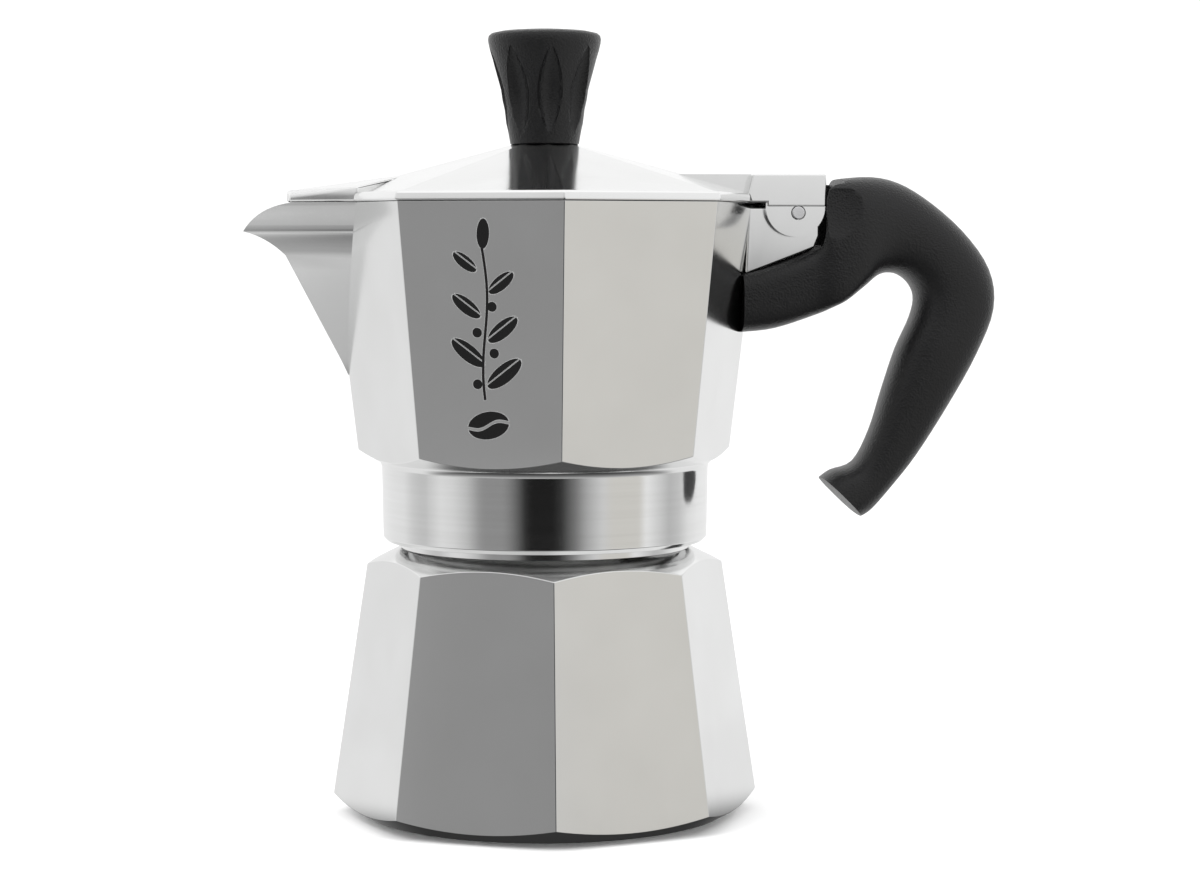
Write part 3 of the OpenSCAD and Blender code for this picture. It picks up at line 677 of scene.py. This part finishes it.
# The spout: where its keel leaves the corner, the start of its curl, its tip and half its width at the rim
SPOUT_FOOT_Z = 90
SPOUT_CURL = (52.72, 114.3)
SPOUT_TIP = (61.2, 119.1)
SPOUT_HALF = 13
# Run across half a facet for each millimetre along it, and how far the spout reaches back into the wall
OCTAGON_TAN = 0.4142
SPOUT_BACK = 3.49


def jug_radius(z):
    return JUG_FOOT_R + (z - JUG_FOOT_Z) * JUG_LEAN


def bend(first, pull, last, share):
    return [(1 - share) ** 2 * a + 2 * share * (1 - share) * b + share ** 2 * c
            for a, b, c in zip(first, pull, last)]


def keel_points():
    """The spout's front edge: straight out from the corner, curling to the tip and on past it."""
    foot = (jug_radius(SPOUT_FOOT_Z), SPOUT_FOOT_Z)
    straight = [[a + (b - a) * k / 8 for a, b in zip(foot, SPOUT_CURL)] for k in range(8)]
    curl = [bend(SPOUT_CURL, (56.52, 118.0), SPOUT_TIP, k / 8) for k in range(9)]
    return straight + curl + [bend(SPOUT_TIP, (64.6, 120.2), (65.4, 125.9), k / 6) for k in range(1, 7)]


def spout(name, wall):
    """The V of the spout, with the inside of its wall a little way in from the outside."""
    rings = []
    for x, z in keel_points():
        half = max(0.1, SPOUT_HALF * max(0, (z - SPOUT_FOOT_Z) / (RIM_Z - SPOUT_FOOT_Z)) ** 1.3)
        face = jug_radius(z) - half * OCTAGON_TAN
        tip = max(x, face + 0.2)
        inner = max(tip - wall / 0.454, face - SPOUT_BACK + 0.1)
        root = half / (tip - face) * (inner - face + SPOUT_BACK)
        length = inner - (face - SPOUT_BACK)
        rings.append(((-inner + length / 1.5, 0, z), (0, 0, 90), (root / 0.866, length / 1.5)))
    return skin(name, rings, 3)


def make_collector():
    body = cone("collector_body", jug_radius(70), jug_radius(RIM_Z), 70, RIM_Z, 8)
    turned = lathe("turned", [(34.0, 72.4), (47.1, 79.89), (47.1, 126)], 128, turn=1.4)
    cut(body, turned, "INTERSECT")
    ease(body, 0.12)
    beak = spout("spout", 0)
    tip_x, tip_z = SPOUT_TIP
    lip = [bend((-tip_x, tip_z), (-58.2, 124.1), (-51.3, RIM_Z), k / 10) for k in range(11)]
    cut(beak, slab("above_lip", [(-75, tip_z), *lip, (-20, RIM_Z), (-20, 135), (-75, 135)], 40))
    ease(beak, 0.3)
    weld(body, beak)
    cut(body, cone("chamber", jug_radius(76.4) - JUG_WALL, jug_radius(126) - JUG_WALL, 76.4, 126, 8))
    cut(body, spout("channel", 1.8))
    cut(body, lathe("water_way", [(24.4, 70), (24.4, 71.4), (3.4, 75.4), (3.4, 78)], 96))
    smooth(body)
    hand_over(body, PRINTED, "collector", "polished_aluminium", "collector")

    band = lathe("collar_band", [
        (COLLAR_BORE_R, 56.25), (31.3, 56.15), (32.15, 56.15), (32.32, 56.2), (33.08, 56.95), (33.15, 57.12),
        (33.38, 70.9), (33.42, 71.35), (33.55, 71.8), (33.8, 72.2), (34.1, 72.45), (34.3, 72.6),
        (24.4, 73.4), (24.4, 70.6), (27.3, 70.6), (27.3, 69.8), (29.7, 69.8), (29.7, 66.5),
        (COLLAR_BORE_R, 65.7)], 160, closed=True)
    smooth(band)
    hand_over(band, COLLAR, "collector", "polished_aluminium", "collector")
    inner = thread("collar_thread", COLLAR_BORE_R, 58.3, 1.94, -60)
    smooth(inner)
    hand_over(inner, SPUN, "collector", "spun_aluminium", "collector")

    bracket = slab("hinge_bracket", [
        (40.5, 110.4), (42.5, 111.2), (54.8, 115.8), (55.8, 118.2), (55.8, 124.05), (41.1, 124.05)], 6.0)
    ease(bracket, 0.5)
    weld(bracket, rod("knuckle", 4.2, 12, (PIN_X, 0, PIN_Z), (90, 0, 0)))
    weld(bracket, slab("tongue", [
        (40.0, 102.9), (46, 105.4), (52.5, 108.9), (54.5, 116.9), (41.7, 116.9)], 2.4))
    cut(bracket, rod("pin_bore", 1.4, 30, (PIN_X, 0, PIN_Z), (90, 0, 0)))
    smooth(bracket)
    hand_over(bracket, ALUMINIUM, "collector", "polished_aluminium", "collector")

    column = lathe("coffee_column", [
        (3.4, 75.0), (10.2, 75.4), (8.4, 77.2), (7.1, 79.6), (5.5, 111.0), (5.2, 111.5), (4.7, 111.8),
        (0.6, 111.8), (0.6, 109.3), (3.4, 109.3)], 64, closed=True)
    cut(column, start("cube", "outlet", size=1, location=mm(0, 0, 106.3), stretch=mm(36, 4.4, 5)))
    ease(column, 0.2, 40, 2)
    smooth(column)
    hand_over(column, ALUMINIUM, "collector", "polished_aluminium", "collector")


# ---------------------------------------------------------------- lid
EAR_Z, BLOCK_TOP = 124.15, 130.75


def hip(a, b):
    """Whether a lid's edge runs up the roof from a corner of the octagon, rather than round it."""
    return (a.xy.length > 6.5 and b.xy.length > 6.5 and abs(a.z - b.z) > 0.01
            and abs(a.xy.normalized().dot(b.xy.normalized())) > 0.9999)


def lid_beak():
    """The part over the spout: a block with a ridge, each corner put in its place."""
    beak = start("cube", "beak", size=1)
    edit(beak)
    bpy.ops.mesh.select_all(action="SELECT")
    bpy.ops.mesh.bisect(plane_co=(0, 0, 0), plane_no=(0, 1, 0))
    leave()
    places = {(-1, -1, -1): (-51.9, -5.6, 125.0), (-1, -1, 1): (-51.9, -5.4, 126.5),
              (-1, 0, -1): (-52.3, 0, 125.0), (-1, 0, 1): (-52.2, 0, 127.4),
              (1, -1, -1): (-38.4, -13.9, 125.0), (1, -1, 1): (-38.4, -13.9, 127.9),
              (1, 0, -1): (-25, 0, 125.0), (1, 0, 1): (-25, 0, 131.1)}
    for vertex in beak.data.vertices:
        x, y, z = (round(2 * value) for value in vertex.co)
        px, py, pz = places[x, -abs(y), z]
        vertex.co = mm(px, -py if y > 0 else py, pz)
    ease(beak, 0.45, 12)
    return beak


def make_lid():
    lid = lathe("lid_body", [
        (44.5, 125.0), (44.66, 125.1), (44.7, 125.3), (44.62, 126.1), (44.42, 126.55), (44.0, 126.85),
        (43.4, 126.95), (42.8, 126.98), (7.0, 136.7)], 8)
    ease_edges(lid, 0.35, hip)
    weld(lid, lid_beak())
    weld(lid, slab("rib", [(24, 125.5), (41.8, 125.5), (41.8, BLOCK_TOP), (24, BLOCK_TOP)], 5))
    block = slab("hinge_block", [
        (41.2, 125.0), (44.5, 125.0), (44.5, EAR_Z), (56.7, EAR_Z), (56.7, BLOCK_TOP), (41.6, BLOCK_TOP),
        (40.6, 126.8)], 8.5)
    ease(block, 0.4)
    weld(lid, block)
    weld(lid, rod("ears", 6.1, 16.4, (50.4, 0, EAR_Z), (90, 0, 0), 64))
    cut(lid, lathe("under_roof", [(41.5, 124), (41.5, 126.37), (6.0, 135.25)], 8))
    cut(lid, slab("bracket_room", [(42.4, 110), (70, 110), (70, 129.25), (42.4, 129.25)], 6.2))
    cut(lid, rod("pin_bore", 1.5, 40, (PIN_X, 0, PIN_Z), (90, 0, 0)))
    cut(lid, rod("screw_hole", 2.2, 20, (0, 0, 136)))
    smooth(lid)
    hand_over(lid, ALUMINIUM, "lid", "polished_aluminium", "lid")

    pin = rod("pin", 1.35, 16.9, (PIN_X, 0, PIN_Z), (90, 0, 0))
    ease(pin, 0.25, 40)
    smooth(pin)
    hand_over(pin, STEEL, "lid", "bright_steel", "hinge_pin")


# ---------------------------------------------------------------- knob
FLUTES = 8
# Middle, half length and lean of a flute, and the angle of the first one
FLUTE_R, FLUTE_Z, FLUTE_REACH, FLUTE_RISE, FIRST_FLUTE = 9.35, 147.4, 1.75, 9.3, 2.5


def make_knob():
    knob = lathe("knob_grip", [
        (3.3, 146.2), (3.3, 136.7), (6.7, 136.7), (7.0, 136.95), (7.25, 138.4), (7.5, 139.8), (7.8, 141.0),
        (8.2, 143.8), (8.7, 145.8), (9.0, 147.9), (9.5, 149.9), (10.0, 151.9), (10.5, 153.9), (11.1, 155.9),
        (11.4, 157.2), (11.5, 158.0), (11.35, 158.7), (10.8, 159.2), (9.0, 159.6), (6.0, 159.85),
        (2.5, 159.97), (0.2, 160.0), (0.2, 146.2)], 96, closed=True)
    rings = []
    for step in range(-12, 13):
        share = step / 12
        half = max(0.02, 2.75 * (1 - abs(share) ** 1.9))
        centre = (FLUTE_R + FLUTE_REACH * share, 0, FLUTE_Z + FLUTE_RISE * share)
        rings.append((centre, (0, 0, 0), (half * 0.85, half)))
    cut(knob, ring_of(skin("flute", rings, 20), FLUTES, FIRST_FLUTE))
    ease(knob, 0.18, 28, 2)
    smooth(knob, 40)
    hand_over(knob, PLASTIC, "lid", "black_plastic", "knob")


# ---------------------------------------------------------------- handle
# Outer side x and z, inner side x and z, half width and squareness, from the hinge pin
ARM = [
    (-11, -11.9, -11, -24.4, 8.4, 0.55), (-4, -9.9, -4, -23.6, 8.8, 0.55), (3.2, -7.0, 4, -21, 9.4, 0.5),
    (5.5, -3.6, 7, -19.6, 10.3, 0.35), (6.1, 5.3, 10.2, -18, 10.8, 0.3), (12.3, 7.3, 14.2, -15.2, 10.9, 0.5),
    (19.8, 6.9, 18, -12.6, 9.9, 0.75), (27, 3.4, 21.6, -12.4, 9.2, 0.8), (35.2, -3.4, 24.4, -14.2, 8.8, 0.8),
    (41, -11.4, 25.8, -17.2, 8.6, 0.8), (42.1, -19.6, 25, -21.4, 8.5, 0.8), (38.6, -29, 22, -28, 8.3, 0.8),
    (32.8, -39.4, 19.2, -36.4, 7.8, 0.8), (26, -50, 16.6, -44.8, 7.2, 0.8),
    (20.4, -57, 13.2, -51.2, 7.0, 0.8), (16.6, -61.2, 8.6, -53, 7.6, 0.8),
    (14.4, -62.6, 6.3, -54.6, 8.0, 0.8)]


# The handle's room for the lid: half its width beside the ears and beside the opened lid, how far
# the lid opens in degrees, and the radii swept below the pin and behind it
EAR_ROOM, LID_ROOM, LID_OPEN = 8.85, 8.95, 100
EAR_SWEEP, BLOCK_SWEEP = 7.85, 10.05


def through_rows(rows, k, share):
    """A smooth line through a list of rows of numbers."""
    a, b, c, d = (rows[min(max(k + j, 0), len(rows) - 1)] for j in (-1, 0, 1, 2))
    return [0.5 * (2 * q + (r - p) * share + (2 * p - 5 * q + 4 * r - s) * share ** 2
                   + (3 * q - p - 3 * r + s) * share ** 3) for p, q, r, s in zip(a, b, c, d)]


def make_handle():
    rows = [through_rows(ARM, k, j / 4) for k in range(len(ARM) - 1) for j in range(4)] + [ARM[-1]]
    rings = []
    for outer_x, outer_z, inner_x, inner_z, wide, square in rows:
        arm = Vector((outer_x - inner_x, outer_z - inner_z)) / 2
        centre = (PIN_X + (outer_x + inner_x) / 2, 0, PIN_Z + (outer_z + inner_z) / 2)
        rings.append((centre, (0, -math.degrees(math.atan2(arm.y, arm.x)), 0), (arm.length, wide, square)))
    handle = skin("handle_grip", rings, 40)
    cut(handle, cone("jug", jug_radius(80) + 0.1, jug_radius(130) + 0.1, 80, 130, 8))
    cut(handle, slab("bracket_slot", [
        (40, 109.9), (42.5, 111.1), (54.9, 115.7), (55.9, 118.1), (55.9, 126), (40, 126)], 6.1))
    cut(handle, slab("tongue_slot", [
        (39, 102.6), (46.1, 105.3), (52.6, 108.8), (54.7, 117.0), (41, 117.0)], 2.5))
    # Room for the ears below the pin, and behind it for the block as it swings
    arc = [(EAR_SWEEP, math.radians(-134 + 6 * k)) for k in range(14)]
    arc += [(BLOCK_SWEEP, math.radians(-52 + 7 * k)) for k in range(18)]
    swept = [(PIN_X + r * math.cos(a), PIN_Z + r * math.sin(a)) for r, a in arc]
    cut(handle, slab("hinge_room", [(34.5, 117.25), *swept, (34.5, 132.2)], EAR_ROOM))
    opened = start("cube", "opened_lid", size=1, location=mm(-47.15, 0, 4.1),
                   stretch=mm(105.7, 2 * LID_ROOM, 8.2))
    turned = Matrix.Rotation(math.radians(LID_OPEN), 4, "Y")
    opened.data.transform(Matrix.Translation(mm(PIN_X, 0, PIN_Z)) @ turned)
    cut(handle, opened)
    cut(handle, rod("screw_bore", 2.0, 40, (47.5, 0, 100)))
    cut(handle, rod("head_bore", 3.8, 40, (47.5, 0, 82.3)))
    for side in (-1, 1):
        scoop = start("uv_sphere", "scoop", segments=64, ring_count=32, radius=1,
                      location=mm(56.2, side * 13.1, 127.2), stretch=mm(10.4, 3.8, 13))
        cut(scoop, start("cube", "above", size=1, location=mm(56, side * 13, 147.8),
                         stretch=mm(40, 20, 40)))
        cut(handle, scoop)
    ease(handle, 0.5, 30)
    smooth(handle, 40)
    hand_over(handle, PLASTIC, "collector", "black_plastic", "handle")


make_knob()
make_handle()
make_lid()
make_boiler()
make_collector()
deselect()
add_studio()
add_camera()
